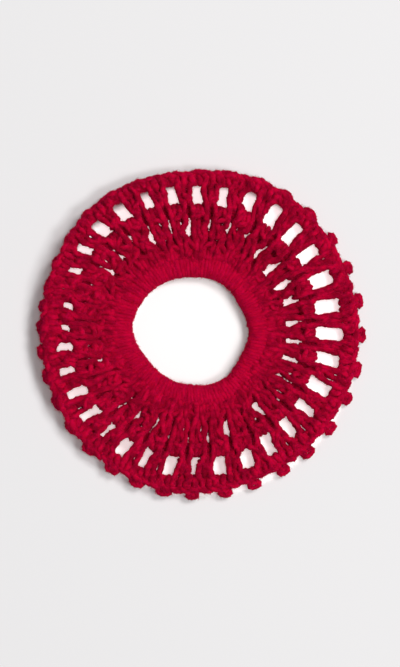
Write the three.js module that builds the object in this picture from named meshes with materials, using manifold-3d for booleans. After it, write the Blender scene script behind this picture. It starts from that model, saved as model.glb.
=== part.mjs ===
// A crochet hair snood, the ruffled ring that is worn round a bun, lying on a flat surface.
// Yarn stitches wrap a hair elastic as a thick ribbed collar. Two rounds of open net stand on the
// collar, with the posts of each round over the gaps of the one before, and a rope edge closes
// them with one picot loop over each large gap.
//
// Each round is made flat and regular, as a pattern is charted, and is then draped: one smooth map
// moves every point to where the cloth lies. Millimetres, +Z up, the surface at Z = 0, and +Y is
// the top of the snood as it is seen from above.

import * as THREE from "three";
import { mergeVertices } from "three/addons/utils/BufferGeometryUtils.js";
import Module from "manifold-3d";

const wasm = await Module();
wasm.setup();

// Sizes of the collar and the elastic in it
const hair_opening = 44.2;
const collar_width = 9.0;
const collar_height = 7.6;
const collar_foot_width = 2.8;
const rib_depth = 0.25;
const lip_gap = 0.8;
const elastic_thickness = 4.0;

// Sizes of the inner round: its dense foot band, its posts and its chain
const foot_band_width = 6.0;
const foot_band_height = 5.0;
const inner_post_height = 3.8;
const inner_gap_length = 5.5;
const inner_gap_width = 2.9;
const inner_chain_width = 7.2;
const inner_chain_height = 4.8;

// Sizes of the outer round
const outer_post_height = 3.4;
const outer_gap_length = 7.6;
const outer_gap_width = 5.2;
const outer_chain_width = 2.8;
const outer_chain_height = 3.8;

// Sizes of the edge and its picots
const edge_width = 2.0;
const edge_height = 3.0;
const picot_width = 6.0;
const picot_reach = 3.8;
const picot_yarn = 2.0;

// What all rounds share
const mesh_count = 34;
const clearance = 0.35;
const stitch_bulge = 0.08;
const closed_below = 0.3;

// How the cloth lies: the collar's centre seen from the rim's, and the highest lift of the net
const collar_shift_x = -3.9;
const collar_shift_y = 1.5;
const net_lift = 10.0;

// One row for each direction round the ring, in degrees from +X towards +Y. "slide" is how far the
// meshes have slipped round, in meshes. The next five are shares of the flat radius of the same
// line, and the lifts are shares of net_lift.
const drape_rows = [
  { at: 0, slide: 0.0, hole: 1.02, chain: 1.0, crown: 0.99, edge: 1.0, tip: 0.985,
    chain_lift: 0.5, crown_lift: 0.32, edge_lift: 0.26, tip_lift: 0.22 },
  { at: 30, slide: 0.41, hole: 0.97, chain: 1.03, crown: 1.01, edge: 1.01, tip: 1.006,
    chain_lift: 0.56, crown_lift: 0.38, edge_lift: 0.3, tip_lift: 0.24 },
  { at: 60, slide: 0.55, hole: 1.005, chain: 1.055, crown: 1.045, edge: 1.04, tip: 0.996,
    chain_lift: 0.66, crown_lift: 0.56, edge_lift: 0.46, tip_lift: 0.22 },
  { at: 90, slide: 0.6, hole: 0.965, chain: 1.055, crown: 1.035, edge: 1.03, tip: 0.96,
    chain_lift: 0.76, crown_lift: 0.72, edge_lift: 0.6, tip_lift: 0.26 },
  { at: 120, slide: 0.62, hole: 0.995, chain: 1.07, crown: 1.07, edge: 1.05, tip: 0.986,
    chain_lift: 0.86, crown_lift: 0.84, edge_lift: 0.66, tip_lift: 0.36 },
  { at: 150, slide: 0.5, hole: 1.027, chain: 1.035, crown: 1.02, edge: 1.02, tip: 0.972,
    chain_lift: 0.98, crown_lift: 0.96, edge_lift: 0.86, tip_lift: 0.54 },
  { at: 180, slide: -0.28, hole: 1.045, chain: 1.01, crown: 0.995, edge: 1.01, tip: 0.978,
    chain_lift: 1.0, crown_lift: 0.94, edge_lift: 0.9, tip_lift: 0.7 },
  { at: 210, slide: -0.63, hole: 0.94, chain: 0.985, crown: 1.01, edge: 1.007, tip: 0.972,
    chain_lift: 0.88, crown_lift: 0.76, edge_lift: 0.72, tip_lift: 0.56 },
  { at: 240, slide: -0.72, hole: 0.94, chain: 1.005, crown: 1.01, edge: 1.01, tip: 0.99,
    chain_lift: 0.74, crown_lift: 0.6, edge_lift: 0.54, tip_lift: 0.42 },
  { at: 270, slide: -0.79, hole: 0.96, chain: 1.03, crown: 1.0, edge: 1.01, tip: 0.99,
    chain_lift: 0.64, crown_lift: 0.46, edge_lift: 0.4, tip_lift: 0.34 },
  { at: 300, slide: -0.6, hole: 1.025, chain: 1.01, crown: 0.98, edge: 0.985, tip: 0.988,
    chain_lift: 0.56, crown_lift: 0.36, edge_lift: 0.3, tip_lift: 0.26 },
  { at: 330, slide: -0.38, hole: 0.99, chain: 1.015, crown: 0.985, edge: 0.99, tip: 0.99,
    chain_lift: 0.5, crown_lift: 0.3, edge_lift: 0.24, tip_lift: 0.2 },
];

// How open the gaps of each round are, mesh by mesh from +X towards +Y, as shares of their widths.
// The cloth is drawn together where they are small, and closed at the join of the round.
const inner_openness = [
  0.83, 0.69, 0.69, 0.97, 0.75, 0.35, 0.7, 0.35, 0.7, 0.55, 0.7, 0.2,
  0.35, 0.1, 0.1, 0.1, 0.1, 0.1, 0.1, 0.1, 0.1, 0.1, 0.6, 0.4,
  0.1, 0.1, 0.1, 0.5, 0.15, 0.8, 0.2, 0.55, 0.45, 0.55,
];
const outer_openness = [
  0.92, 1.15, 1.23, 1.0, 0.92, 1.08, 0.92, 0.69, 0.85, 0.85, 0.69, 1.15,
  1.15, 0.85, 0.77, 0, 0.46, 0.38, 0.92, 0.69, 1.0, 0.77, 0.38, 0.85,
  0.62, 1.0, 0.46, 1.08, 0.92, 0.85, 0.85, 0.77, 1.0, 1.0,
];

// How much each line of the net follows the collar's shift and the slide of the outer round
const shift_shares = { collar: 1, chain: 0.7, crown: 0, edge: 0, tip: 0 };
const slide_shares = { collar: 0, chain: 0.45, crown: 1, edge: 1, tip: 1 };

// The flat radii of the rounds, worked out from the hair opening outwards
const collar_inner = hair_opening / 2;
const collar_mid = collar_inner + collar_width / 2;
const collar_outer = collar_inner + collar_width;
const foot_band_mid = collar_outer + clearance + foot_band_width / 2;
const foot_band_outer = foot_band_mid + foot_band_width / 2;
const inner_chain_mid = foot_band_outer + inner_gap_length + inner_chain_width / 2;
const inner_chain_outer = inner_chain_mid + inner_chain_width / 2;
const outer_chain_mid = inner_chain_outer + outer_gap_length + outer_chain_width / 2;
const outer_chain_outer = outer_chain_mid + outer_chain_width / 2;
const edge_mid = outer_chain_outer + clearance + edge_width / 2;
const edge_outer = edge_mid + edge_width / 2;
const picot_outer = edge_outer + picot_reach;
const mesh_angle = (2 * Math.PI) / mesh_count;

// Facets of the round shapes, and steps of a ring in each mesh
const elastic_sides = 6;
const inner_gap_sides = 6;
const outer_gap_sides = 8;
const picot_sides = 4;
const picot_steps = 7;
const steps_per_mesh = 2;
const ring_steps = mesh_count * steps_per_mesh;
const hollow_sides = 7;

// A smooth curve through four values, between the second and the third
function between(a, b, c, d, t) {
  return b + 0.5 * t * (c - a + t * (2 * a - 5 * b + 4 * c - d + t * (3 * (b - c) + d - a)));
}

// A column of the drape table at any direction, in radians, smooth all round
function drapeAt(column, direction) {
  const rows = drape_rows.length;
  const place = ((direction / (2 * Math.PI)) * rows + rows) % rows;
  const row = Math.floor(place);
  const value = (step) => drape_rows[(row + step + rows) % rows][column];
  return between(value(-1), value(0), value(1), value(2), place - row);
}

// The value and slope, at radius r, of a smooth curve through [radius, value] knots
function curveAt(knots, first_slope, r) {
  const last = knots.length - 1;
  let k = 0;
  while (k < last - 1 && r > knots[k + 1][0]) k += 1;
  const rise = (a, b) => (knots[b][1] - knots[a][1]) / (knots[b][0] - knots[a][0]);
  const slope = (i) => (i === 0 ? first_slope : i === last ? rise(i - 1, i) : rise(i - 1, i + 1));
  const span = knots[k + 1][0] - knots[k][0];
  const t = (r - knots[k][0]) / span;
  const start = slope(k) * span;
  const end = slope(k + 1) * span;
  const from = knots[k][1];
  const to = knots[k + 1][1];
  const a = 2 * (from - to) + start + end;
  const b = 3 * (to - from) - 2 * start - end;
  return [from + t * (start + t * (b + t * a)), (start + t * (2 * b + 3 * t * a)) / span];
}

// Moves a point of the flat pattern, at radius r, direction and height off the cloth's middle, to
// where it lies. The collar stays level; outside it the height is measured across the sloping net.
function drape(r, direction, height) {
  const hole = drapeAt("hole", direction);
  const collar_rise = collar_height / 2;
  let distance = r * hole;
  let rise = collar_rise;
  let tilt = 0;
  let shift = shift_shares.collar;
  let slide = slide_shares.collar;
  if (r > collar_outer) {
    const lines = { chain: inner_chain_mid, crown: outer_chain_mid, edge: edge_mid, tip: picot_outer };
    const through = (start, valueOf) => [
      [collar_outer, start],
      ...Object.keys(lines).map((line) => [lines[line], valueOf(line)]),
    ];
    const reach = (line) => lines[line] * drapeAt(line, direction);
    const lift = (line) => net_lift * drapeAt(line + "_lift", direction);
    const [out, out_slope] = curveAt(through(collar_outer * hole, reach), hole, r);
    const [up, up_slope] = curveAt(through(collar_rise, lift), 0, r);
    distance = out;
    rise = up;
    tilt = Math.atan2(up_slope, out_slope);
    shift = curveAt(through(shift_shares.collar, (line) => shift_shares[line]), 0, r)[0];
    slide = curveAt(through(slide_shares.collar, (line) => slide_shares[line]), 0, r)[0];
  }
  const turned = direction + slide * drapeAt("slide", direction) * mesh_angle;
  const out = distance - height * Math.sin(tilt);
  return new THREE.Vector3(
    shift * collar_shift_x + out * Math.cos(turned),
    shift * collar_shift_y + out * Math.sin(turned),
    rise + height * Math.cos(tilt),
  );
}

// A closed three.js geometry as a solid that can be cut and joined
function solidOf(geometry) {
  const bare = geometry.clone();
  bare.deleteAttribute("normal");
  bare.deleteAttribute("uv");
  const merged = mergeVertices(bare, 1e-4);
  const mesh = new wasm.Mesh({
    numProp: 3,
    vertProperties: merged.attributes.position.array,
    triVerts: new Uint32Array(merged.index.array),
  });
  return new wasm.Manifold(mesh);
}

function geometryOf(solid) {
  const mesh = solid.getMesh();
  const geometry = new THREE.BufferGeometry();
  geometry.setAttribute("position", new THREE.BufferAttribute(mesh.vertProperties, 3));
  geometry.setIndex(new THREE.BufferAttribute(mesh.triVerts, 1));
  return geometry;
}

function movePoints(geometry, move) {
  const points = geometry.attributes.position;
  const point = new THREE.Vector3();
  for (let i = 0; i < points.count; i += 1) {
    const moved = move(point.fromBufferAttribute(points, i));
    points.setXYZ(i, moved.x, moved.y, moved.z);
  }
  return geometry;
}

function draped(geometry) {
  const lying = movePoints(geometry, (p) => drape(Math.hypot(p.x, p.y), Math.atan2(p.y, p.x), p.z));
  const plain = lying.index ? lying.toNonIndexed() : lying;
  plain.computeVertexNormals();
  return plain;
}

// A ring of cloth. Its section is given from its outer side to its inner side as [radius, half
// height] points, and is the same above and below. It bulges once for each mesh.
function band(half_section) {
  const above = half_section.map(([radius, half]) => new THREE.Vector2(radius, half));
  const below = [...half_section].reverse().map(([radius, half]) => new THREE.Vector2(radius, -half));
  const section = [...above, ...below].filter((p, i, all) => i === 0 || !p.equals(all[i - 1]));
  const ends_meet = section[0].equals(section[section.length - 1]);
  const closed = ends_meet ? section : [...section, section[0].clone()];
  const ring = new THREE.LatheGeometry(closed, ring_steps).rotateX(Math.PI / 2);
  return movePoints(ring, (p) => {
    const bulge = 1 + stitch_bulge * Math.cos(mesh_count * Math.atan2(p.y, p.x));
    return p.setZ(p.z * bulge);
  });
}

// A gap between two posts, lens shaped because the posts are narrow at their waists
function gap(from, to, width, height, sides, direction) {
  const corner = 1 / Math.cos(Math.PI / sides);
  const hole = new THREE.CylinderGeometry(corner, corner, height, sides).rotateX(Math.PI / 2);
  hole.rotateZ(Math.PI / sides).scale((to - from) / 2, width / 2, 1);
  return hole.translate((from + to) / 2, 0, 0).rotateZ(direction);
}

// Cuts the gaps of one round. "phase" is where they lie, in meshes, and "openness" how open each is.
function withGaps(ring, phase, openness, gapAt) {
  let net = ring;
  for (let mesh = 0; mesh < mesh_count; mesh += 1) {
    const direction = (mesh + phase) * mesh_angle;
    const open = openness[mesh];
    if (open > closed_below) net = net.subtract(solidOf(gapAt(direction, open)));
  }
  return net;
}

// The elastic ring that the collar's stitches close round
function hairElastic() {
  return new THREE.TorusGeometry(collar_mid, elastic_thickness / 2, elastic_sides, mesh_count);
}

// The collar's section is a C. Its hollow holds the elastic, and its lips face outwards, where the
// stitches meet. It is flat underneath, and has a rib for each stitch of the net.
function collar() {
  const lip = lip_gap / 2;
  const foot = collar_foot_width / 2;
  const bottom = -collar_height / 2;
  const half_step = Math.PI / hollow_sides;
  const hollow = (elastic_thickness / 2 + clearance) / Math.cos(half_step);
  const onOval = (degrees) => {
    const angle = THREE.MathUtils.degToRad(degrees);
    const across = (Math.cos(angle) * collar_width) / 2;
    return new THREE.Vector2(across, (Math.sin(angle) * collar_height) / 2);
  };
  const inHollow = (turn) => {
    const angle = -turn * 2 * half_step;
    return new THREE.Vector2(hollow * Math.cos(angle), hollow * Math.sin(angle));
  };
  const lip_x = collar_width / 2;
  const section = [
    new THREE.Vector2(lip_x, lip),
    ...[45, 90, 135, 180, 220].map(onOval),
    new THREE.Vector2(-foot, bottom),
    new THREE.Vector2(foot, bottom),
    onOval(320),
    new THREE.Vector2(lip_x, -lip),
    new THREE.Vector2(hollow, -lip),
    ...Array.from({ length: hollow_sides - 1 }, (_, turn) => inHollow(turn + 1)),
    new THREE.Vector2(hollow, lip),
    new THREE.Vector2(lip_x, lip),
  ];
  const around = section.map((p) => new THREE.Vector2(collar_mid + p.x, p.y));
  const ring = new THREE.LatheGeometry(around, ring_steps).rotateX(Math.PI / 2);
  return movePoints(ring, (p) => {
    const radius = Math.hypot(p.x, p.y);
    const off = Math.hypot(radius - collar_mid, p.z);
    const free = off > hollow * 1.01 && p.z > bottom * 0.99 && Math.abs(p.z) > lip * 1.01;
    const rib = free ? (rib_depth / off) * Math.cos(mesh_count * Math.atan2(p.y, p.x)) : 0;
    const scale = (radius + (radius - collar_mid) * rib) / radius;
    return p.set(p.x * scale, p.y * scale, p.z * (1 + rib));
  });
}

// The inner round stands on the collar: a dense foot band, then a post for each mesh up to a chain
function innerNet() {
  const band_half = foot_band_height / 2;
  const post_half = inner_post_height / 2;
  const chain_half = inner_chain_height / 2;
  const chain_inner = inner_chain_outer - inner_chain_width;
  const ring = band([
    [inner_chain_outer, 0],
    [inner_chain_outer - chain_half, chain_half],
    [chain_inner + post_half, chain_half],
    [foot_band_outer - post_half / 2, post_half],
    [foot_band_mid, band_half],
    [foot_band_mid - foot_band_width / 2, 0],
  ]);
  const height = 3 * inner_post_height;
  return withGaps(solidOf(ring), 0.5, inner_openness, (direction, open) =>
    gap(foot_band_outer, chain_inner, inner_gap_width * open, height, inner_gap_sides, direction),
  );
}

// The outer round straddles the inner chain. Its posts stand over the gaps of the inner round.
function outerNet() {
  const post_half = outer_post_height / 2;
  const chain_half = outer_chain_height / 2;
  const chain_inner = outer_chain_outer - outer_chain_width;
  const foot = inner_chain_outer + clearance * 1.4;
  const ring = band([
    [outer_chain_outer, 0],
    [outer_chain_outer - chain_half / 2, chain_half],
    [chain_inner + chain_half / 2, chain_half],
    [chain_inner, post_half],
    [foot - post_half, post_half],
    [foot, 0],
  ]);
  const height = 3 * outer_post_height;
  const gap_inner = foot - post_half - clearance;
  return withGaps(solidOf(ring), 0, outer_openness, (direction, open) =>
    gap(gap_inner, chain_inner, outer_gap_width * open, height, outer_gap_sides, direction),
  );
}

// The edge is a rope round the rim with one picot, a small ring of yarn, over each large gap
function picotEdge() {
  const tube = picot_yarn / 2;
  const half = edge_height / 2;
  let edge = solidOf(band([[edge_outer, 0], [edge_mid, half], [edge_outer - edge_width, 0]]));
  for (let mesh = 0; mesh < mesh_count; mesh += 1) {
    const picot = new THREE.TorusGeometry(picot_width / 2 - tube, tube, picot_sides, picot_steps);
    picot.translate(picot_outer - picot_width / 2, 0, 0).rotateZ(mesh * mesh_angle);
    edge = edge.add(solidOf(picot));
  }
  return edge;
}

const parts = [
  ["hair_elastic", hairElastic(), "#6d0a20", 0.75],
  ["collar_round", collar(), "#b3062f", 0.9],
  ["inner_net_round", geometryOf(innerNet()), "#b8062f", 0.9],
  ["outer_net_round", geometryOf(outerNet()), "#bb0730", 0.9],
  ["picot_edge", geometryOf(picotEdge()), "#b60630", 0.9],
];

const snood = new THREE.Group();
snood.name = "crochet_hair_snood";
for (const [name, flat, color, roughness] of parts) {
  const material = new THREE.MeshStandardMaterial({ color, roughness, metalness: 0 });
  material.name = name + "_yarn";
  const mesh = new THREE.Mesh(draped(flat), material);
  mesh.name = name;
  snood.add(mesh);
}

// The origin is the centre of the snood's outline, on the surface it lies on
const bounds = new THREE.Box3().setFromObject(snood);
const middle = bounds.getCenter(new THREE.Vector3());
for (const mesh of snood.children) {
  mesh.geometry.translate(-middle.x, -middle.y, -bounds.min.z);
}

export default snood;
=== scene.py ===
"""A crochet hair snood, lying flat.

Every round is worked in yarn. Each stitch is charted on the flat pattern as a path across, outwards
and up, is draped to where the cloth lies, and is spun into a yarn along that path. Lengths on the
chart are millimetres.
"""
import math

import bpy
import numpy as np
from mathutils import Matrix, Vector


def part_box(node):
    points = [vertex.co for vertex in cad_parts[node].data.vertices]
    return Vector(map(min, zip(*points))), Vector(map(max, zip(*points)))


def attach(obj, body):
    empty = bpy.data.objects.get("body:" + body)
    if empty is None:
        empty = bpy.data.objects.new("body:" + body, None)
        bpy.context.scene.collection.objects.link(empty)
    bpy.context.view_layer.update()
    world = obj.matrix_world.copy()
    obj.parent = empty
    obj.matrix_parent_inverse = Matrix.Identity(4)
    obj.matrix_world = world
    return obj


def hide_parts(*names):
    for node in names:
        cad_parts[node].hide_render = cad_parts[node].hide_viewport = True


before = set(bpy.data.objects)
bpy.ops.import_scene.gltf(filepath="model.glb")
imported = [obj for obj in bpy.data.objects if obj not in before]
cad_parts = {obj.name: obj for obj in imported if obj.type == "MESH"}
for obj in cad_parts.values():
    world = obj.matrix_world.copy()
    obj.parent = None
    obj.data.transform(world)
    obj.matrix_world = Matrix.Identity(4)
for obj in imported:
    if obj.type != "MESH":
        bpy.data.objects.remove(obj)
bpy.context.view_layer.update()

MM = 0.001

# The flat pattern, in millimetres: the meshes round it, the width of the opening, the section of the
# collar and the elastic in it, and the radius of each line that the rounds beyond it follow
MESHES = 34
HAIR_OPENING = 44.2
COLLAR_WIDTH = 9.0
COLLAR_HEIGHT = 7.6
ELASTIC_RADIUS = 2.0
COLLAR_MID = HAIR_OPENING / 2 + COLLAR_WIDTH / 2
COLLAR_OUTER = HAIR_OPENING / 2 + COLLAR_WIDTH
INNER_CHAIN = 46.55
OUTER_CHAIN = 59.15
EDGE = 61.9
PICOT_TIP = 66.7
NET_LIFT = 10.0
# The collar lies off the centre of the net
COLLAR_SHIFT = (-3.9, 1.5)
MESH_ANGLE = 2 * math.pi / MESHES

# How the cloth lies, one row each 30 degrees from +X towards +Y. Slide is how far the meshes have
# slipped round. Hole to tip are shares of the flat radius, and the lifts are shares of NET_LIFT.
DRAPE_COLUMNS = ("slide", "hole", "chain", "crown", "edge", "tip",
                 "chain_lift", "crown_lift", "edge_lift", "tip_lift")
DRAPE_ROWS = [
    (0.0, 1.02, 1.0, 0.99, 1.0, 0.985, 0.5, 0.32, 0.26, 0.22),  # 0
    (0.41, 0.97, 1.03, 1.01, 1.01, 1.006, 0.56, 0.38, 0.3, 0.24),  # 30
    (0.55, 1.005, 1.055, 1.045, 1.04, 0.996, 0.66, 0.56, 0.46, 0.22),  # 60
    (0.6, 0.965, 1.055, 1.035, 1.03, 0.96, 0.76, 0.72, 0.6, 0.26),  # 90
    (0.62, 0.995, 1.07, 1.07, 1.05, 0.986, 0.86, 0.84, 0.66, 0.36),  # 120
    (0.5, 1.027, 1.035, 1.02, 1.02, 0.972, 0.98, 0.96, 0.86, 0.54),  # 150
    (-0.28, 1.045, 1.01, 0.995, 1.01, 0.978, 1.0, 0.94, 0.9, 0.7),  # 180
    (-0.63, 0.94, 0.985, 1.01, 1.007, 0.972, 0.88, 0.76, 0.72, 0.56),  # 210
    (-0.72, 0.94, 1.005, 1.01, 1.01, 0.99, 0.74, 0.6, 0.54, 0.42),  # 240
    (-0.79, 0.96, 1.03, 1.0, 1.01, 0.99, 0.64, 0.46, 0.4, 0.34),  # 270
    (-0.6, 1.025, 1.01, 0.98, 0.985, 0.988, 0.56, 0.36, 0.3, 0.26),  # 300
    (-0.38, 0.99, 1.015, 0.985, 0.99, 0.99, 0.5, 0.3, 0.24, 0.2),  # 330
]
DRAPE = dict(zip(DRAPE_COLUMNS, np.array(DRAPE_ROWS).T))

# The meshes, in order from +X: the large gap of the outer round, then the slit between the posts of the
# inner round that follows it. Each has its clear width, the radii that it starts and ends at, and how
# far it sits to one side. The cloth is drawn together where the width is 0.
MESH_CHART = [
    ((3.5, 48.5, 57.0, 0.0), (2.5, 34.5, 41.5, -0.5)),
    ((4.0, 48.0, 56.5, 0.0), (2.5, 38.0, 42.5, 1.0)),
    ((4.5, 49.5, 56.5, 0.0), (2.5, 37.5, 43.0, 0.0)),
    ((3.5, 49.0, 56.5, 0.5), (3.0, 36.0, 42.0, 1.0)),
    ((3.0, 49.0, 57.0, 0.5), (1.5, 38.5, 41.5, 1.5)),
    ((3.5, 49.0, 58.0, 0.5), (1.0, 41.0, 42.5, 1.5)),
    ((3.5, 50.0, 57.5, 1.0), (3.0, 39.5, 42.0, 1.5)),
    ((2.0, 48.5, 56.5, 1.0), (1.5, 39.5, 42.0, 0.5)),
    ((2.5, 48.5, 57.0, 1.0), (2.5, 38.5, 41.5, 1.0)),
    ((2.5, 49.0, 58.0, 0.5), (2.5, 39.0, 41.5, 0.5)),
    ((2.0, 49.5, 58.0, 0.0), (2.0, 37.5, 42.0, 1.0)),
    ((3.5, 49.0, 58.0, 0.5), (1.0, 39.5, 41.5, 1.0)),
    ((3.5, 48.5, 58.0, 1.0), (1.5, 38.5, 40.5, 0.0)),
    ((2.0, 49.5, 58.0, 1.0), (1.5, 36.5, 40.5, -0.5)),
    ((1.5, 49.5, 56.5, 0.5), (0.5, 38.5, 39.5, -1.5)),
    ((0.0, 50.0, 55.0, 0.0), (0.0, 39.0, 41.0, 0.0)),
    ((3.0, 48.0, 55.0, -2.0), (0.0, 39.5, 40.5, 0.0)),
    ((2.0, 49.5, 55.0, -0.5), (0.0, 39.5, 40.5, 0.0)),
    ((3.0, 49.0, 58.0, -1.5), (1.5, 37.5, 41.5, 2.0)),
    ((2.5, 51.0, 58.0, -1.0), (0.0, 39.5, 42.0, 0.0)),
    ((3.0, 49.0, 58.0, -1.0), (0.0, 40.0, 41.5, 0.0)),
    ((2.5, 49.0, 57.5, -0.5), (1.0, 37.0, 41.5, 1.0)),
    ((1.0, 49.0, 55.5, -0.5), (3.5, 39.0, 41.5, 1.0)),
    ((3.5, 49.5, 57.0, -1.0), (1.5, 38.0, 42.0, 1.0)),
    ((2.0, 49.0, 57.0, -1.0), (0.5, 41.0, 42.0, 0.0)),
    ((3.5, 49.0, 57.0, -0.5), (0.5, 40.0, 41.0, -0.5)),
    ((1.0, 48.0, 56.0, -1.0), (1.0, 40.0, 42.0, -0.5)),
    ((4.0, 49.5, 56.5, -1.0), (2.0, 37.5, 42.5, -0.5)),
    ((4.0, 51.5, 57.0, 0.0), (0.0, 39.0, 41.0, 0.0)),
    ((3.0, 49.0, 56.5, -0.5), (2.5, 35.5, 41.5, -1.0)),
    ((3.0, 48.5, 55.5, 0.0), (0.5, 42.0, 43.0, -0.5)),
    ((2.0, 48.5, 56.0, 0.0), (1.0, 37.5, 41.0, 0.5)),
    ((3.5, 49.0, 56.5, -0.5), (1.5, 37.0, 42.5, 0.5)),
    ((3.5, 49.5, 56.5, 0.5), (1.5, 36.5, 42.5, 0.0)),
]
CHARTED_GAPS, SLITS = zip(*MESH_CHART)
# The bulges and loose fibres of the yarn close a large gap by this much, so it is worked that much
# wider and longer
GAP_EASE = 0.7
GAPS = [(width + GAP_EASE if width else 0.0, start - GAP_EASE / 2, end + GAP_EASE / 2, aside)
        for width, start, end, aside in CHARTED_GAPS]

# The lines that the cloth follows beyond the collar, and how much of the collar's shift and of the slide
# it takes at the collar and at each of them
LINES = (("chain", INNER_CHAIN), ("crown", OUTER_CHAIN), ("edge", EDGE), ("tip", PICOT_TIP))
SHIFT_SHARES = {"collar": 1.0, "chain": 0.7, "crown": 0.0, "edge": 0.0, "tip": 0.0}
SLIDE_SHARES = {"collar": 0.0, "chain": 0.45, "crown": 1.0, "edge": 1.0, "tip": 1.0}

# The meshes where the cloth is bunched, at the left. More loops cross the posts of the inner round there
BUNCHED = range(11, 24)
# The meshes round the top and the left, where the picots are turned under and show as low bumps
TURNED_UNDER = range(4, 26)


def catmull_rom(a, b, c, d, t):
    """The smooth curve from b to c at t, with a before them and d after them."""
    return b + 0.5 * t * (c - a + t * (2 * a - 5 * b + 4 * c - d + t * (3 * (b - c) + d - a)))


def drape_at(column, direction):
    """A column of the drape table at any direction, in radians, smooth all round."""
    values = DRAPE[column]
    rows = len(values)
    place = (np.asarray(direction) / (2 * math.pi) * rows) % rows
    row = np.floor(place).astype(int)
    a, b, c, d = (values[(row + step) % rows] for step in (-1, 0, 1, 2))
    return catmull_rom(a, b, c, d, place - row)


def curve_at(radii, values, first_slope, r):
    """The value and slope at r of a smooth curve through knots at radii. values has one row a knot."""
    last = len(radii) - 1
    k = np.clip(np.searchsorted(radii, r, side="left") - 1, 0, last - 1)
    slopes = [first_slope + 0 * r]
    for i in range(1, last + 1):
        after = min(i + 1, last)
        slopes.append((values[after] - values[i - 1]) / (radii[after] - radii[i - 1]))
    slopes = np.array(slopes)
    radii = np.array(radii)
    column = np.arange(len(r))
    span = radii[k + 1] - radii[k]
    t = (r - radii[k]) / span
    start, end = slopes[k, column] * span, slopes[k + 1, column] * span
    low, high = values[k, column], values[k + 1, column]
    a = 2 * (low - high) + start + end
    b = 3 * (high - low) - 2 * start - end
    return low + t * (start + t * (b + t * a)), (start + t * (2 * b + 3 * t * a)) / span


def drape(r, direction, height):
    """Where points of the flat pattern lie, in millimetres from the pattern's centre."""
    r, direction, height = (np.asarray(v, float) for v in (r, direction, height))
    hole = drape_at("hole", direction)
    collar_rise = COLLAR_HEIGHT / 2
    radii = [COLLAR_OUTER] + [radius for _, radius in LINES]
    reach = [COLLAR_OUTER * hole] + [radius * drape_at(name, direction) for name, radius in LINES]
    lift = [collar_rise + 0 * r] + [NET_LIFT * drape_at(name + "_lift", direction) for name, _ in LINES]
    shifts = np.array([share + 0 * r for share in SHIFT_SHARES.values()])
    slides = np.array([share + 0 * r for share in SLIDE_SHARES.values()])
    distance, out_slope = curve_at(radii, np.array(reach), hole, r)
    rise, up_slope = curve_at(radii, np.array(lift), 0.0, r)
    shift, _ = curve_at(radii, shifts, 0.0, r)
    slide, _ = curve_at(radii, slides, 0.0, r)
    inside = r <= COLLAR_OUTER
    distance = np.where(inside, r * hole, distance)
    rise = np.where(inside, collar_rise, rise)
    tilt = np.where(inside, 0.0, np.arctan2(up_slope, out_slope))
    shift = np.where(inside, SHIFT_SHARES["collar"], shift)
    slide = np.where(inside, SLIDE_SHARES["collar"], slide)
    turned = direction + slide * drape_at("slide", direction) * MESH_ANGLE
    out = distance - height * np.sin(tilt)
    return np.stack([shift * COLLAR_SHIFT[0] + out * np.cos(turned),
                     shift * COLLAR_SHIFT[1] + out * np.sin(turned),
                     rise + height * np.cos(tilt)], axis=-1)


# The pattern's centre in the frame: the elastic lies in the same place in both
elastic_low, elastic_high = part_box("hair_elastic")
round_the_ring = np.linspace(0, 2 * math.pi, MESHES, endpoint=False)
elastic_sides = [drape(np.full(MESHES, COLLAR_MID + side * ELASTIC_RADIUS), round_the_ring, np.zeros(MESHES))
                 for side in (-1, 1)]
elastic_line = np.concatenate(elastic_sides)
PATTERN_CENTRE = [(elastic_low[i] + elastic_high[i]) / 2 / MM
                  - (elastic_line[:, i].min() + elastic_line[:, i].max()) / 2 for i in (0, 1)] + [0.0]

# The camera looks straight down, as the photo does, over the photo's middle
PHOTO_HEIGHT = 667
PIXEL = 0.4 * MM
PHOTO_MIDDLE = (-0.7 * MM, 0.9 * MM)
CAMERA_HEIGHT = 1.1
SENSOR = 24.0
camera_data = bpy.data.cameras.new("camera")
camera = bpy.data.objects.new("camera", camera_data)
bpy.context.scene.collection.objects.link(camera)
bpy.context.scene.camera = camera
camera_data.sensor_fit = "VERTICAL"
camera_data.sensor_height = SENSOR
camera_data.lens = SENSOR * CAMERA_HEIGHT / (PHOTO_HEIGHT * PIXEL)
camera.location = (*PHOTO_MIDDLE, CAMERA_HEIGHT)
camera.rotation_euler = (0.0, 0.0, 0.0)
camera_data.clip_end = 10.0

# The yarn. A strand is given by its radius. Each point of a stitch differs a little from the chart in
# its radius, and by a looseness of the stitch's own in its place
random = np.random.default_rng(34)
YARN_SIDES = 10
STRAND_UNEVENNESS = 0.1
# A path's points lie this far apart, measured along as many fine steps from one charted point to the next
PATH_STEP = 1.0
FINE_STEPS = 8
# The middle of a strand lies at least its radius and this much over the surface, for the yarn's bulges
RESTING_GAP = 0.6
# One chain stitch: along in stitches, out in the chain's widths, and up in millimetres
CHAIN_LOOP = [(-0.12, 0.0, -0.5), (0.22, 0.55, 0.35), (0.66, 0.8, 0.45), (1.02, 0.55, 0.15),
              (1.18, 0.0, -0.45), (1.02, -0.55, 0.15), (0.66, -0.8, 0.45), (0.22, -0.55, 0.35),
              (-0.1, -0.1, -0.6), (0.3, 0.0, -1.3), (0.75, 0.0, -1.2)]
# One turn of the collar's yarn round the elastic: out and up from the collar's middle
COLLAR_TURN = [(-3.35, 0.3), (-3.1, 1.5), (-2.1, 2.45), (-0.5, 2.7), (1.3, 2.55), (2.9, 2.2), (4.1, 1.6),
               (4.45, 0.2), (3.5, -1.5), (1.5, -2.5), (-0.5, -2.7), (-2.4, -2.2), (-3.2, -0.9)]
COLLAR_TURNS_A_MESH = 4
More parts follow.
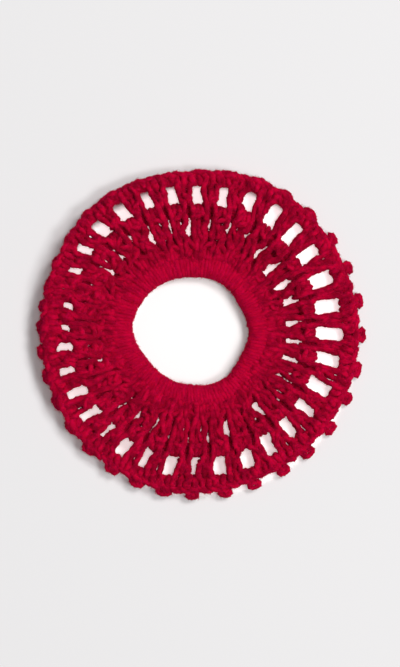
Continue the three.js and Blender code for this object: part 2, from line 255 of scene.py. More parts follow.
# The room that a post's side strand takes beside a gap, and the most that it lies from the post's middle
INNER_POST = (1.15, 2.5)
OUTER_POST = (1.2, 3.6)
# The length over which the strands beside a gap close in again at its ends
GAP_END_SOFTNESS = 0.7
# A face whose normal has a lower Z than this is on the underside, where no fibres grow
UNDERSIDE = -0.3


def smooth_path(points):
    """Evenly spaced points on a smooth closed curve through points, with any further columns."""
    before, after, later = (np.roll(points, step, axis=0) for step in (1, -1, -2))
    t = np.linspace(0, 1, FINE_STEPS + 1)[:-1, None]
    fine = np.vstack([catmull_rom(a, b, c, d, t) for a, b, c, d in zip(before, points, after, later)])
    loop = np.vstack([fine, fine[:1]])
    lengths = np.linalg.norm(np.diff(loop[:, :3], axis=0), axis=1)
    along = np.concatenate([[0], np.cumsum(lengths)])
    steps = int(round(along[-1] / PATH_STEP))
    at = np.linspace(0, along[-1], steps + 1)[:-1]
    return np.stack([np.interp(at, along, column) for column in loop.T], axis=-1)


class Round:
    """The yarn of one round: closed paths. A point is a place, the strand there and the cloth's height."""

    def __init__(self):
        self.paths = []

    def stitch(self, direction, points, strand, loose):
        """One stitch at a direction. points are (across, radius, height) or with a share of the strand."""
        points = np.array([tuple(p) + (1.0,) * (4 - len(p)) for p in points])
        points[:, :3] += random.normal(0, loose, (len(points), 3))
        points[:, 3] *= random.normal(1, STRAND_UNEVENNESS, len(points))
        across, r, height, share = points.T
        self.lay(direction + across / r, r, height, share * strand)

    def lay(self, direction, r, height, strand):
        """Drapes a charted path over the cloth."""
        spots = drape(r, direction, height) + PATTERN_CENTRE
        cloth = drape(r, direction, 0 * r)[:, 2]
        path = smooth_path(np.column_stack([spots, strand + 0 * r, cloth]))
        path[:, 2] = np.maximum(path[:, 2], path[:, 3] + RESTING_GAP)
        self.paths.append(path)

    def chain(self, radius, height, width, strand, loose, phase=0.0):
        """A ring of chain stitches, two a mesh. Each loop comes up through the last, and lies as a V."""
        count = MESHES * 2
        one = 2 * math.pi / count
        rows = []
        for i in range(count):
            wobble = random.normal(0, loose, (len(CHAIN_LOOP), 2))
            for (along, out, up), (shift, lift) in zip(CHAIN_LOOP, wobble):
                rows.append(((i + phase + along) * one, radius + out * width + shift, height + up + lift))
        direction, r, h = np.array(rows).T
        self.lay(direction, r, h, strand)

    def ring(self, radius, height, strand, loose=0.08):
        """A plain strand all the way round, three points a mesh."""
        count = MESHES * 3
        direction = np.arange(count) * 2 * math.pi / count
        r = radius + random.normal(0, loose, count)
        self.lay(direction, r, height + random.normal(0, loose, count), strand)


def work_collar(yarn):
    """Close stitches over the elastic: one helix of yarn, whose turns lie unevenly."""
    turns = MESHES * COLLAR_TURNS_A_MESH
    corners = len(COLLAR_TURN)
    count = turns * corners
    out, up = np.tile(np.array(COLLAR_TURN), (turns, 1)).T
    size = 1 + np.repeat(random.normal(0, 0.035, turns), corners)
    # The outer side of a turn reaches out by a length of its own
    longer = np.where(out > 3, np.repeat(random.normal(0.1, 0.6, turns), corners), 0)
    lean = np.repeat(random.normal(0, 0.010, turns), corners) * out / COLLAR_WIDTH
    slip = np.repeat(random.normal(0, 0.006, turns), corners)
    direction = np.arange(count) * 2 * math.pi / count + lean + slip
    yarn.lay(direction, COLLAR_MID + out * size + longer, up * size, strand=1.1)


def window(r, start, end):
    """1 between start and end, falling smoothly to 0 outside."""
    rise = np.clip((r - start) / GAP_END_SOFTNESS + 0.5, 0, 1)
    fall = np.clip((end - r) / GAP_END_SOFTNESS + 0.5, 0, 1)
    both = np.minimum(rise, fall)
    return both * both * (3 - 2 * both)


def beside(gap, side, r, post):
    """How far from a post's middle its side strand lies that borders a gap, at radius r."""
    width, start, end, aside = gap
    room, widest = post
    open_here = float(window(r, start, end)) if width else 0.0
    aside = side * aside * open_here
    return min(widest + max(aside, 0.0), MESH_ANGLE * r / 2 - room - width * open_here / 2 + aside)


def middle_strand(width):
    """The strand in the middle of a post, which is thicker in a wider post."""
    return 0.66 + 0.14 * width


def work_foot_band(yarn):
    """The dense band that stands on the collar: its ground, and the strands between the posts."""
    for radius in (32.0, 33.9, 35.6):
        yarn.ring(radius, -0.3, strand=1.15)
        yarn.ring(radius + 0.5, -1.6, strand=1.0)
    for mesh in range(MESHES):
        between = (mesh + 0.5) * MESH_ANGLE
        width, start, _, _ = SLITS[mesh]
        for side in (-1, 1):
            reach = random.normal(0, 0.4)
            slip = random.normal(0, 0.8)
            yarn.stitch(between, [
                (side * 0.5, 30.6 + slip, 0.5), (side * 0.6, 29.8 + slip, 2.2),
                (side * 0.75, 31.6 + slip, 2.3), (side * 0.85, 33.4, 1.3),
                (side * 0.8, 34.8 + reach, 0.6), (side * 0.35, 35.8 + reach, -0.4),
                (side * 0.4, 35.2, -1.2), (side * 0.6, 33.0, -1.7)], strand=1.18, loose=0.2)
        # A strand that slants across from the next stitch breaks the row of radial ones
        slip = random.normal(0, 0.7)
        slant = random.choice((-1, 1))
        yarn.stitch(between, [
            (-slant * 2.2, 33.6 + slip, 0.4), (-slant * 1.3, 34.0 + slip, 1.9), (0.0, 34.9 + slip, 2.1),
            (slant * 1.2, 35.8 + slip, 1.7), (slant * 2.0, 36.2 + slip, 0.2),
            (0.0, 35.0 + slip, -1.2)], strand=1.0, loose=0.2)
        # Under a slit that is drawn together lies the strand of the stitch behind it
        under = (35.0, 35.4, 35.8, start - 1.0) if width else (37.0, 39.0, 41.0, 43.2)
        outwards = [(0.2, r, -0.9 - 0.3 * k) for k, r in enumerate(under)]
        back = [(-0.2, r, -1.9) for r in reversed(under)]
        yarn.stitch(between, outwards + back, strand=1.0, loose=0.15)


def work_inner_net(yarn):
    """The posts, which rise out of the foot band with narrow slits between them, and the chain on them."""
    yarn.chain(INNER_CHAIN - 1.8, -1.0, width=1.2, strand=1.05, loose=0.15)
    yarn.chain(INNER_CHAIN + 0.3, -1.0, width=0.9, strand=1.05, loose=0.12, phase=0.5)
    for mesh in range(MESHES):
        direction = mesh * MESH_ANGLE
        lean = random.normal(0, 0.2)
        slits = SLITS[mesh - 1], SLITS[mesh]
        # The post ends just short of the large gap over it
        top = min(GAPS[mesh][1], 50.0) - 0.85
        for side, slit in zip((-1, 1), slits):
            def edge(r, share=1.0):
                return side * share * beside(slit, side, r, INNER_POST)
            slip = random.normal(0, 0.7)
            yarn.stitch(direction, [
                (side * 0.6, 30.4 + slip, 0.9), (side * 0.75, 29.6 + slip, 2.3),
                (side * 0.85, 31.3 + slip, 2.45), (side * 1.0, 33.6, 2.15), (side * 1.15, 35.4, 1.7),
                (edge(37.2, 0.85), 37.2, 1.3), (edge(38.8), 38.8, 1.0), (edge(40.4), 40.4, 1.0),
                (edge(42.2), 42.2, 1.1), (edge(44.2, 0.9), 44.2, 1.5), (side * 1.25, top - 1.6, 1.7),
                (side * 1.0, top - 0.3, 0.9), (side * 0.8, top, -0.2), (side * 0.6, 45.6, -1.6),
                (edge(41.5), 41.5, -1.4), (edge(38.8), 38.8, -1.3), (side * 0.8, 35.0, -2.0)],
                strand=1.2, loose=0.18)
        left, right = (beside(slit, side, 40.4, INNER_POST) for side, slit in zip((-1, 1), slits))
        middle = (right - left) / 2
        slip = random.normal(0, 0.8)
        yarn.stitch(direction, [
            (middle + 0.2, 35.6, 1.0), (middle + 0.3 + lean, 38.2, 1.0), (middle - 0.1 + lean, 40.8, 0.8),
            (middle, 42.8, -0.4), (middle, 44.6, 0.7), (0.1, top - 1.2, 1.0), (0.1, top - 0.4, -0.6),
            (middle - 0.2, 43.5, -1.5), (middle, 38.5, -1.5)],
            strand=middle_strand(left + right), loose=0.15)
        yarn.stitch(direction, [
            (-left * 0.9, 37.6 + slip, -0.2), (-0.8, 38.3 + slip, 1.2), (0.2, 39.9 + slip, 1.6),
            (1.0, 41.5 + slip, 1.2), (right * 0.9, 42.2 + slip, -0.2), (0.6, 41.4 + slip, -1.5),
            (-0.9, 39.4 + slip, -1.5)], strand=1.0, loose=0.2)
        # Loops that cross the posts: one below the chain, and more where the cloth is bunched
        crossings = [44.4] + ([37.6, 40.6] if mesh in BUNCHED else [])
        for radius in crossings:
            slant = random.choice((-1, 1))
            slip = random.normal(0, 0.4)
            yarn.stitch(direction, [
                (-slant * 1.9, radius - 0.9 + slip, 0.3), (-slant * 1.1, radius - 0.5 + slip, 2.0),
                (0.0, radius + slip, 2.5), (slant * 1.1, radius + 0.5 + slip, 2.0),
                (slant * 1.9, radius + 0.9 + slip, 0.3), (0.0, radius + slip, -1.2)], strand=1.1, loose=0.2)


def work_outer_net(yarn):
    """Posts that hold the inner chain between their feet, the large gaps, and the heads over the chain."""
    yarn.chain(OUTER_CHAIN - 0.1, -0.2, width=0.7, strand=1.0, loose=0.08)
    # The ring runs along the outer ends of the gaps
    ends = [min(max(end + 1.1, 57.6), 59.0) if width else 58.0 for width, _, end, _ in GAPS]
    yarn.ring(np.array([r for end in ends for r in (end, 58.3, 58.3)]), 0.2, strand=1.15, loose=0.05)
    for mesh in range(MESHES):
        direction = (mesh + 0.5) * MESH_ANGLE
        lean = random.normal(0, 0.25)
        gaps = GAPS[mesh], GAPS[(mesh + 1) % MESHES]
        for side, gap in zip((-1, 1), gaps):
            def edge(r, share=1.0):
                return side * share * beside(gap, side, r, OUTER_POST)
            reach = random.normal(0, 0.4)
            yarn.stitch(direction, [
                (side * 1.0, 49.4, -1.4), (side * 1.2, 46.4, -1.9), (side * 1.4, 42.7 + reach, -0.6),
                (side * 1.6, 43.1 + reach, 1.1), (side * 1.85, 45.2, 2.0), (side * 1.75, 47.4, 2.0),
                (edge(49.2, 0.75), 49.4, 1.5), (edge(51.4), 51.4, 1.0), (edge(53.4), 53.4, 0.9),
                (edge(55.2), 55.2, 0.9), (edge(56.5), 56.5, 1.0), (side * 2.9, 58.2, 1.3),
                (side * 2.5, 59.6, 1.6), (side * 2.3, 61.0, 0.8), (side * 2.2, 61.0, -0.5),
                (side * 2.0, 58.6, -1.4), (edge(54.0), 54.0, -1.2)], strand=1.2, loose=0.14)
        left, right = (beside(gap, side, 53.4, OUTER_POST) for side, gap in zip((-1, 1), gaps))
        middle = (right - left) / 2
        yarn.stitch(direction, [
            (0.1, 48.2, -0.4), (middle * 0.6, 49.8, 0.9), (middle + lean, 52.4, 1.1),
            (middle + lean, 54.6, 0.5), (middle, 56.4, -0.6), (0.1, 58.4, 1.0), (0.1, 60.0, 1.5),
            (0.0, 61.0, 0.6), (0.0, 60.8, -0.6), (0.1, 59.0, -1.4), (middle, 56.0, -1.5),
            (middle * 0.6, 50.6, -1.3)], strand=middle_strand(left + right), loose=0.12)
        # A loop crosses the post's foot, one way or the other
        slip = random.normal(0, 0.6)
        begin, finish = (-left, right) if random.random() < 0.5 else (right, -left)
        yarn.stitch(direction, [
            (begin * 0.9, 50.0 + slip, -0.2), (begin * 0.6, 50.6 + slip, 1.3), (middle, 51.8 + slip, 1.7),
            (finish * 0.6, 53.0 + slip, 1.3), (finish * 0.9, 53.6 + slip, -0.2),
            (middle, 53.0 + slip, -1.5), (begin * 0.5, 51.0 + slip, -1.5)], strand=1.05, loose=0.15)
        # The heads worked over the chain, between this post and the next
        head = (mesh + 1) * MESH_ANGLE
        _, _, gap_end, aside = GAPS[(mesh + 1) % MESHES]
        for across in (aside - 1.3, aside + 1.3):
            slant = random.normal(0.5, 0.3)
            yarn.stitch(head, [
                (across - slant, gap_end + 0.85, 0.0), (across - slant, gap_end + 1.2, 1.2),
                (across, 59.6, 1.6), (across + slant, 61.0, 0.8), (across + slant, 61.0, -0.6),
                (across, 59.2, -1.5), (across - slant, gap_end + 1.2, -1.1)], strand=1.2, loose=0.1)


def work_edge(yarn):
    """A rope of slanting stitches round the rim, and over each large gap a picot, a loop with a neck."""
    yarn.ring(61.3, 0.1, strand=1.15)
    for mesh in range(MESHES):
        direction = mesh * MESH_ANGLE
        turned_under = mesh in TURNED_UNDER
        lean = random.normal(0, 0.35)
        size = random.uniform(0.85, 1.08)
        for step in (-1, 0, 1):
            across = step * 3.8 + random.normal(0, 0.3)
            out = random.normal(0, 0.25)
            strand = 1.25
            # Behind a picot the rope draws in, but it is thick where the picot is turned under
            if step == 0 and turned_under:
                strand = 1.55
            elif step == 0:
                out -= 0.4
            yarn.stitch(direction, [
                (across - 2.6, 60.4, 0.6), (across - 0.8, 61.2, 1.4), (across + 1.2, 61.7 + out, 1.3),
                (across + 2.7, 61.9 + out, 0.2), (across + 1.4, 61.6 + out, -0.9),
                (across - 1.2, 60.9, -1.0)], strand=strand, loose=0.14)
        neck, body, tip = (2.4, 2.2, 1.2) if turned_under else (0.7, 1.8, 1.45)
        yarn.stitch(direction, [
            (-0.8, 61.8, 0.4), (-neck + lean * 0.5, 62.9, 0.5), (-body * size + lean, 63.8, 0.3, 1.1),
            (-tip * size + lean, 65.0, 0.2, 1.05), (lean, 65.2, 0.1, 0.95),
            (tip * size + lean, 65.0, 0.2, 1.05), (body * size + lean, 63.8, 0.3, 1.1),
            (neck + lean * 0.5, 62.9, 0.5), (0.8, 61.8, 0.4)], strand=1.15, loose=0.12)
        # The wrap inside the loop
        yarn.stitch(direction, [
            (-0.7, 62.2, 0.9), (-0.2 + lean, 63.0, 1.3), (0.6 + lean, 63.5, 0.9), (0.2 + lean, 63.2, -0.5),
            (-0.6, 62.5, -0.6)], strand=0.9, loose=0.1)


# Geometry Nodes
def new_tree(name, sizes):
    """A modifier tree with one geometry in and out, and a named input for each size."""
    tree = bpy.data.node_groups.new(name, "GeometryNodeTree")
    tree.is_modifier = True
    face = tree.interface
    face.new_socket("Geometry", in_out="INPUT", socket_type="NodeSocketGeometry")
    keys = {}
    for label, kind, value in sizes:
        socket = face.new_socket(label, in_out="INPUT", socket_type=kind)
        if value is not None:
            socket.default_value = value
        keys[label] = socket.identifier
    face.new_socket("Geometry", in_out="OUTPUT", socket_type="NodeSocketGeometry")
    return tree, keys


def add_node(tree, kind, inputs=None, **settings):
    """A node with its settings, and its inputs linked where they are sockets and set where they aren't."""
    node = tree.nodes.new(kind)
    for name, value in settings.items():
        setattr(node, name, value)
    for key, value in (inputs or {}).items():
        if isinstance(value, bpy.types.NodeSocket):
            tree.links.new(value, node.inputs[key])
        else:
            node.inputs[key].default_value = value
    return node


def maths(tree, operation, *values):
    """The result of a Math node."""
    return add_node(tree, "ShaderNodeMath", dict(enumerate(values)), operation=operation).outputs[0]


def scaled(tree, vector, factor):
    """A vector times a number."""
    inputs = {0: vector, "Scale": factor}
    return add_node(tree, "ShaderNodeVectorMath", inputs, operation="SCALE").outputs[0]


def random_number(tree, low, high, seed):
    """A random number for each fibre. A Random Value node has its float range at inputs 2 and 3."""
    inputs = {2: low, 3: high, "Seed": seed}
    return add_node(tree, "FunctionNodeRandomValue", inputs, data_type="FLOAT").outputs[1]


def turned_by(tree, rotation, angles):
    """A rotation turned further by angles, in its own axes."""
    turn = add_node(tree, "FunctionNodeEulerToRotation", {0: angles}).outputs[0]
    inputs = {"Rotation": rotation, "Rotate By": turn}
    return add_node(tree, "FunctionNodeRotateRotation", inputs, rotation_space="LOCAL").outputs[0]


def greater(tree, value, limit):
    """Whether a number is over a limit."""
    inputs = {0: value, 1: limit}
    compare = add_node(tree, "FunctionNodeCompare", inputs, data_type="FLOAT", operation="GREATER_THAN")
    return compare.outputs[0]


def close_tree(tree, geometry, material):
    """Ends a tree: its instances are made real and take the material."""
    real = add_node(tree, "GeometryNodeRealizeInstances", {"Geometry": geometry})
    dyed = add_node(tree, "GeometryNodeSetMaterial", {"Geometry": real.outputs[0], "Material": material})
    add_node(tree, "NodeGroupOutput", {0: dyed.outputs[0]})


def spin_yarn_tree():
    """Spins a plied yarn along a curve: lobed in section, and turning as it goes."""
    tree, keys = new_tree("spin_yarn", [
        ("Plies", "NodeSocketInt", 3), ("Sides", "NodeSocketInt", YARN_SIDES),
        ("Ply Depth", "NodeSocketFloat", 0.06), ("Turns per Metre", "NodeSocketFloat", 110.0),
        ("Unevenness", "NodeSocketFloat", 0.0012), ("Material", "NodeSocketMaterial", None)])
    source = add_node(tree, "NodeGroupInput").outputs
    along = add_node(tree, "GeometryNodeSplineParameter").outputs["Length"]
    whole = add_node(tree, "GeometryNodeSplineLength").outputs["Length"]
    turns = maths(tree, "MULTIPLY", along, source["Turns per Metre"])
    all_turns = maths(tree, "MULTIPLY", whole, source["Turns per Metre"])
    # A closed strand turns a whole number of plies, so that its ends meet
    plies_round = maths(tree, "MULTIPLY", all_turns, source["Plies"])
    plies_whole = maths(tree, "ROUND", plies_round)
    fit = maths(tree, "DIVIDE", plies_whole, plies_round)
    fitted = maths(tree, "MULTIPLY", turns, fit)
    angle = maths(tree, "MULTIPLY", fitted, 2 * math.pi)
    tilted = add_node(tree, "GeometryNodeSetCurveTilt", {"Curve": source["Geometry"], "Tilt": angle})
    circle = add_node(tree, "GeometryNodeCurvePrimitiveCircle", {
        "Resolution": source["Sides"], "Radius": 1.0})
    around = add_node(tree, "GeometryNodeSplineParameter").outputs["Factor"]
    lobe = maths(tree, "MULTIPLY", around, source["Plies"])
    wave = maths(tree, "COSINE", maths(tree, "MULTIPLY", lobe, 2 * math.pi))
    swell = maths(tree, "MULTIPLY_ADD", wave, source["Ply Depth"], 1.0)
    spot = add_node(tree, "GeometryNodeInputPosition").outputs[0]
    profile = add_node(tree, "GeometryNodeSetPosition", {
        "Geometry": circle.outputs[0], "Position": scaled(tree, spot, swell)})
    strand = add_node(tree, "GeometryNodeInputRadius").outputs[0]
    spun = add_node(tree, "GeometryNodeCurveToMesh", {
        "Curve": tilted.outputs[0], "Profile Curve": profile.outputs[0], "Scale": strand, "Fill Caps": True})
    # The spun fibres bulge unevenly out of the yarn
    lumps = add_node(tree, "ShaderNodeTexNoise", {"Scale": 650.0, "Detail": 1.0}).outputs[0]
    bulge = maths(tree, "MULTIPLY", maths(tree, "ADD", lumps, -0.5), source["Unevenness"])
    normal = add_node(tree, "GeometryNodeInputNormal").outputs[0]
    uneven = add_node(tree, "GeometryNodeSetPosition", {
        "Geometry": spun.outputs[0], "Offset": scaled(tree, normal, bulge)})
    smooth = add_node(tree, "GeometryNodeSetShadeSmooth", {"Geometry": uneven.outputs[0]})
    close_tree(tree, smooth.outputs[0], source["Material"])
    return tree, keys


def fuzz_tree():
    """Grows short tapered fibres out of a yarn's surface, each of its own tone and lying its own way."""
    tree, keys = new_tree("yarn_fuzz", [
        ("Fibres per Square Metre", "NodeSocketFloat", 2.0e5), ("Fibre Length", "NodeSocketFloat", 0.0018),
        ("Fibre Radius", "NodeSocketFloat", 0.00007), ("Lowest Lean", "NodeSocketFloat", 0.8),
        ("Clear Height", "NodeSocketFloat", 0.0034), ("Seed", "NodeSocketInt", 5),
        ("Material", "NodeSocketMaterial", None)])
    source = add_node(tree, "NodeGroupInput").outputs
    seed = source["Seed"]
    # Fibres grow only where they can be seen, not on the sides that face down or lie on the surface
    normal = add_node(tree, "GeometryNodeInputNormal").outputs[0]
    place = add_node(tree, "GeometryNodeInputPosition").outputs[0]
    steepness = add_node(tree, "ShaderNodeSeparateXYZ", {0: normal}).outputs["Z"]
    height = add_node(tree, "ShaderNodeSeparateXYZ", {0: place}).outputs["Z"]
    upward = greater(tree, steepness, UNDERSIDE)
    clear = greater(tree, height, source["Clear Height"])
    seen = add_node(tree, "FunctionNodeBooleanMath", {0: upward, 1: clear}, operation="AND")
    roots = add_node(tree, "GeometryNodeDistributePointsOnFaces", {
        "Mesh": source["Geometry"], "Selection": seen.outputs[0], "Seed": seed,
        "Density": source["Fibres per Square Metre"]})
    toned = add_node(tree, "GeometryNodeStoreNamedAttribute", {
        "Geometry": roots.outputs["Points"], "Name": "tone", "Value": random_number(tree, 0.0, 1.0, seed)},
        data_type="FLOAT", domain="POINT")
    fibre = add_node(tree, "GeometryNodeMeshCone", {
        "Vertices": 3, "Side Segments": 1, "Radius Top": 0.0, "Radius Bottom": source["Fibre Radius"],
        "Depth": source["Fibre Length"]})
    turn = add_node(tree, "FunctionNodeRandomValue", {
        0: (0.0, 0.0, -math.pi), 1: (0.0, 0.0, math.pi), "Seed": seed}, data_type="FLOAT_VECTOR")
    lean = random_number(tree, source["Lowest Lean"], 1.5, seed)
    turned = turned_by(tree, roots.outputs["Rotation"], turn.outputs[0])
    facing = turned_by(tree, turned, add_node(tree, "ShaderNodeCombineXYZ", {0: lean}).outputs[0])
    placed = add_node(tree, "GeometryNodeInstanceOnPoints", {
        "Points": toned.outputs[0], "Instance": fibre.outputs[0], "Rotation": facing,
        "Scale": random_number(tree, 0.5, 1.15, seed)})
    close_tree(tree, placed.outputs[0], source["Material"])
    return tree, keys


def grown_mesh(source, name, tree, keys, values):
    """Runs a tree on an object and gives its result as a plain mesh object."""
    modifier = source.modifiers.new("grow", "NODES")
    modifier.node_group = tree
    for label, value in values.items():
        modifier[keys[label]] = value
    bpy.context.view_layer.update()
    evaluated = source.evaluated_get(bpy.context.evaluated_depsgraph_get())
    mesh = bpy.data.meshes.new_from_object(evaluated)
    mesh.name = name
    source.modifiers.remove(modifier)
    piece = bpy.data.objects.new(name, mesh)
    bpy.context.scene.collection.objects.link(piece)
    return piece


def yarn_curve(name, yarn):
    """All paths of a round as one curve object, with the strand's radius at each point."""
    curve = bpy.data.curves.new(name, "CURVE")
    curve.dimensions = "3D"
    for path in yarn.paths:
        spline = curve.splines.new("POLY")
        spline.points.add(len(path) - 1)
        spots = np.column_stack([path[:, :3] * MM, np.ones(len(path))])
        spline.points.foreach_set("co", spots.ravel())
        spline.points.foreach_set("radius", path[:, 3] * MM)
        spline.use_cyclic_u = True
    obj = bpy.data.objects.new(name, curve)
    bpy.context.scene.collection.objects.link(obj)
    return obj


def mark_crests(piece, yarn, low, high):
    """Stores on each point how far it stands out of the cloth: 0 deep between stitches, 1 on top."""
    cloth = np.concatenate([np.repeat(path[:, 4], YARN_SIDES) for path in yarn.paths])
    spots = np.empty(len(piece.data.vertices) * 3)
    piece.data.vertices.foreach_get("co", spots)
    crest = np.clip((spots[2::3] / MM - cloth - low) / (high - low), 0, 1)
    piece.data.attributes.new("crest", "FLOAT", "POINT").data.foreach_set("value", crest)


# Yarn, fibres and the surface
CRIMSON = (0.535, 0.0008, 0.035)
# The painted shade of the yarn, where it lies deep between the stitches
PAINTED_GROOVE_SHADE = (0.28, 0.0003, 0.015)


def new_material(name, finish):
    """A material, its tree and its shader, with the sockets of the shader that finish names set."""
    material = bpy.data.materials.new(name)
    material.use_nodes = True
    shader = material.node_tree.nodes["Principled BSDF"]
    for label, value in finish.items():
        shader.inputs[label].default_value = value
    return material, material.node_tree, shader


def noise(tree, vector, **settings):
    """A noise pattern, with the inputs that settings name."""
    return add_node(tree, "ShaderNodeTexNoise", {"Vector": vector, **settings}).outputs[0]


def moved(tree, vector, offset):
    """Places on a piece, moved along, so that a pattern lies elsewhere on it."""
    return add_node(tree, "ShaderNodeMapping", {"Vector": vector, "Location": offset}).outputs[0]


def colour_ramp(tree, share, *stops):
    """Colours that run from one to the next between two positions."""
    ramp = add_node(tree, "ShaderNodeValToRGB", {"Fac": share})
    for element, (position, colour) in zip(ramp.color_ramp.elements, stops):
        element.position = position
        element.color = (*colour, 1)
    return ramp.outputs[0]


def painted_shade_by_crest(tree, colour):
    """A colour with painted shade between the stitches. A Mix node's colours are inputs 6 and 7, output 2.
    """
    crest = add_node(tree, "ShaderNodeAttribute", attribute_name="crest").outputs["Fac"]
    inputs = {0: crest, 6: (*PAINTED_GROOVE_SHADE, 1), 7: colour}
    return add_node(tree, "ShaderNodeMix", inputs, data_type="RGBA").outputs[2]


def yarn_material(name, light, dark, pattern_shift):
    """Soft spun yarn: fine fibres along a mottled dye, matt, with the sheen of its fuzz."""
    material, tree, shader = new_material(name, {
        "Roughness": 0.92, "Specular IOR Level": 0.03, "Subsurface Weight": 0.5,
        "Subsurface Radius": (1.0, 0.3, 0.3), "Subsurface Scale": 0.9 * MM, "Sheen Weight": 0.6,
        "Sheen Roughness": 0.45, "Sheen Tint": (0.9, 0.02, 0.10, 1.0)})
    spots = add_node(tree, "ShaderNodeTexCoord").outputs["Object"]
    placed = moved(tree, spots, (pattern_shift, 0.0, 0.0))
    mottle = noise(tree, placed, Scale=300.0, Detail=3.0, Roughness=0.6)
    patch = noise(tree, placed, Scale=45.0, Detail=2.0)
    fibre = noise(tree, placed, Scale=2400.0, Detail=4.0, Roughness=0.7)
    blend = add_node(tree, "ShaderNodeMix", {0: 0.2, 2: mottle, 3: patch}, data_type="FLOAT").outputs[0]
    dye = colour_ramp(tree, blend, (0.42, dark), (0.6, light))
    # Painted shade darkens the dye where the yarn lies low between the stitches
    tree.links.new(painted_shade_by_crest(tree, dye), shader.inputs["Base Color"])
    height = maths(tree, "ADD", fibre, mottle)
    bump = add_node(tree, "ShaderNodeBump", {"Height": height, "Strength": 0.4, "Distance": 0.00025})
    tree.links.new(bump.outputs[0], shader.inputs["Normal"])
    return material


def fibre_material():
    """Loose fibres, each with a tone of its own, and painted shade where they grow between stitches."""
    material, tree, shader = new_material("loose_fibres", {
        "Roughness": 0.8, "Specular IOR Level": 0.03, "Subsurface Weight": 0.5,
        "Subsurface Radius": (1.0, 0.3, 0.3), "Subsurface Scale": 0.5 * MM})
    spots = add_node(tree, "ShaderNodeTexCoord").outputs["Object"]
    mottle = noise(tree, spots, Scale=400.0)
    dye = colour_ramp(tree, mottle, (0.35, (0.36, 0.0006, 0.020)), (0.7, (0.60, 0.002, 0.048)))
    tone = add_node(tree, "ShaderNodeAttribute", attribute_name="tone").outputs["Fac"]
    toned = scaled(tree, dye, maths(tree, "MULTIPLY_ADD", tone, 0.6, 0.65))
    tree.links.new(painted_shade_by_crest(tree, toned), shader.inputs["Base Color"])
    return material


def fading(tree, share, start, end, low, high):
    """low up to start, high from end on, and an even slope between them."""
    inputs = {"Value": share, 1: start, 2: end, 3: low, 4: high}
    return add_node(tree, "ShaderNodeMapRange", inputs).outputs[0]


def surface_material():
    """Fine matt paper with a painted pool of light inside the snood's rim, whiter and glowing of itself,
    and pale grey beyond it.
    """
    material, tree, shader = new_material("pale_surface", {
        "Roughness": 0.9, "Specular IOR Level": 0.1, "Emission Color": (1.0, 0.88, 0.89, 1.0)})
    spots = add_node(tree, "ShaderNodeTexCoord").outputs["Object"]
    grain = noise(tree, spots, Scale=900.0)
    # The painted pool of light lies a little low, and shows between the lower picots
    centred = moved(tree, spots, (0.0005, 0.0018, 0.0))
    out = add_node(tree, "ShaderNodeVectorMath", {0: centred}, operation="LENGTH").outputs["Value"]
    # Its radii are shares of 0.1 m, and its rim is as uneven as the paper's grain
    share = maths(tree, "DIVIDE", maths(tree, "MULTIPLY_ADD", grain, 0.002, out), 0.1)
    # Under the snood the paper is whiter, a painted pool of light that lifts the shade in the gaps
    paper = colour_ramp(tree, share, (0.62, (0.93, 0.925, 0.915)), (0.65, (0.80, 0.79, 0.795)))
    tree.links.new(paper, shader.inputs["Base Color"])
    # The surface glows of itself under the net, a painted light, but hardly in the opening. Its
    # pink is painted bounce from the red yarn. The painted light is stronger at the top, where the
    # lifted net shades the surface
    inner = fading(tree, share, 0.27, 0.34, 0.06, 1.0)
    rim = fading(tree, share, 0.615, 0.64, 1.0, 0.0)
    inputs = {0: spots, 1: (-1.3, 2.5, 0.0)}
    upwards = add_node(tree, "ShaderNodeVectorMath", inputs, operation="DOT_PRODUCT").outputs["Value"]
    level = maths(tree, "ADD", upwards, 0.56)
    glow = maths(tree, "MULTIPLY", maths(tree, "MULTIPLY", inner, level), rim)
    tree.links.new(glow, shader.inputs["Emission Strength"])
    return material


# Work the rounds. Each has what works it, its solid, its finish, its thousands of fibres, how dark its
# mottles are as a share of the dye, and the heights of its grooves and crests. Between those heights
# the painted shade of the grooves fades out
ROUNDS = [
    ("collar", work_collar, "collar_round", "collar_yarn", 14, 0.78, -3.5, 3.4),
    ("foot_band", work_foot_band, "inner_net_round", "inner_net_yarn", 16, 0.6, 0.9, 3.7),
    ("inner_net", work_inner_net, "inner_net_round", "inner_net_yarn", 27, 0.46, -0.4, 3.0),
    ("outer_net", work_outer_net, "outer_net_round", "outer_net_yarn", 28, 0.46, -0.8, 2.2),
    ("picot_edge", work_edge, "picot_edge", "edge_yarn", 17, 0.5, -1.5, 1.7),
]
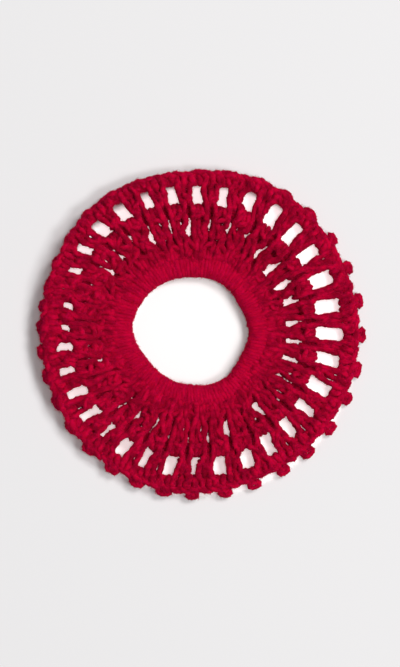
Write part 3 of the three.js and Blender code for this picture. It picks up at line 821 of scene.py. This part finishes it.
# Each round has its own stretch of the mottled pattern and its own seed for the fibres
PATTERN_SHIFT = 0.37
FIRST_SEED = 5
SEED_STEP = 7
spin_tree, spin_keys = spin_yarn_tree()
grow_tree, grow_keys = fuzz_tree()
fibres = fibre_material()
for turn, (name, work, node, slot, fuzz, mottle, groove, crest) in enumerate(ROUNDS):
    yarn = Round()
    work(yarn)
    dark = [mottle * value for value in CRIMSON]
    dye = yarn_material(name + "_yarn", CRIMSON, dark, turn * PATTERN_SHIFT)
    line = yarn_curve(name + "_line", yarn)
    piece = grown_mesh(line, name + "_stitches", spin_tree, spin_keys, {"Material": dye})
    bpy.data.objects.remove(line)
    # The crests set where shade is painted between the stitches
    mark_crests(piece, yarn, groove, crest)
    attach(piece, "root")
    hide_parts(node)
    seen = sum(face.area for face in piece.data.polygons if face.normal.z > UNDERSIDE)
    fluff = grown_mesh(piece, name + "_fuzz", grow_tree, grow_keys, {
        "Fibres per Square Metre": fuzz * 1000 / seen, "Seed": FIRST_SEED + SEED_STEP * turn,
        "Material": fibres})
    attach(fluff, "root")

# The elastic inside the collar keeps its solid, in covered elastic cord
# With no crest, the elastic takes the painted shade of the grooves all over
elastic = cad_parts["hair_elastic"]
elastic_cover = yarn_material("elastic_cover", (0.2, 0.004, 0.02), (0.12, 0.002, 0.012), 2.0)
for place in elastic.material_slots:
    place.material = elastic_cover

# The surface, and soft light that comes mostly from the right and a little from the top
bpy.ops.mesh.primitive_plane_add(size=3.0, location=(0, 0, 0))
surface = bpy.context.object
surface.name = "surface"
surface.data.materials.append(surface_material())


def softbox(name, spot, size, power):
    """A square lamp that faces the snood."""
    light = bpy.data.lights.new(name, "AREA")
    light.shape = "SQUARE"
    light.size = size
    light.energy = power
    lamp = bpy.data.objects.new(name, light)
    lamp.location = spot
    lamp.rotation_euler = (-Vector(spot)).to_track_quat("-Z", "Y").to_euler()
    bpy.context.scene.collection.objects.link(lamp)


softbox("upper_right_softbox", (1.55, 1.2, 3.15), 1.1, 69.0)
softbox("lower_right_softbox", (1.8, -0.65, 3.15), 1.1, 55.0)
softbox("overhead_softbox", (0.1, 0.1, 3.6), 0.9, 30.0)
world = bpy.data.worlds.new("studio")
world.use_nodes = True
world.node_tree.nodes["Background"].inputs["Color"].default_value = (1.0, 1.0, 1.0, 1.0)
world.node_tree.nodes["Background"].inputs["Strength"].default_value = 0.08
bpy.context.scene.world = world
bpy.context.scene.view_settings.view_transform = "Standard"
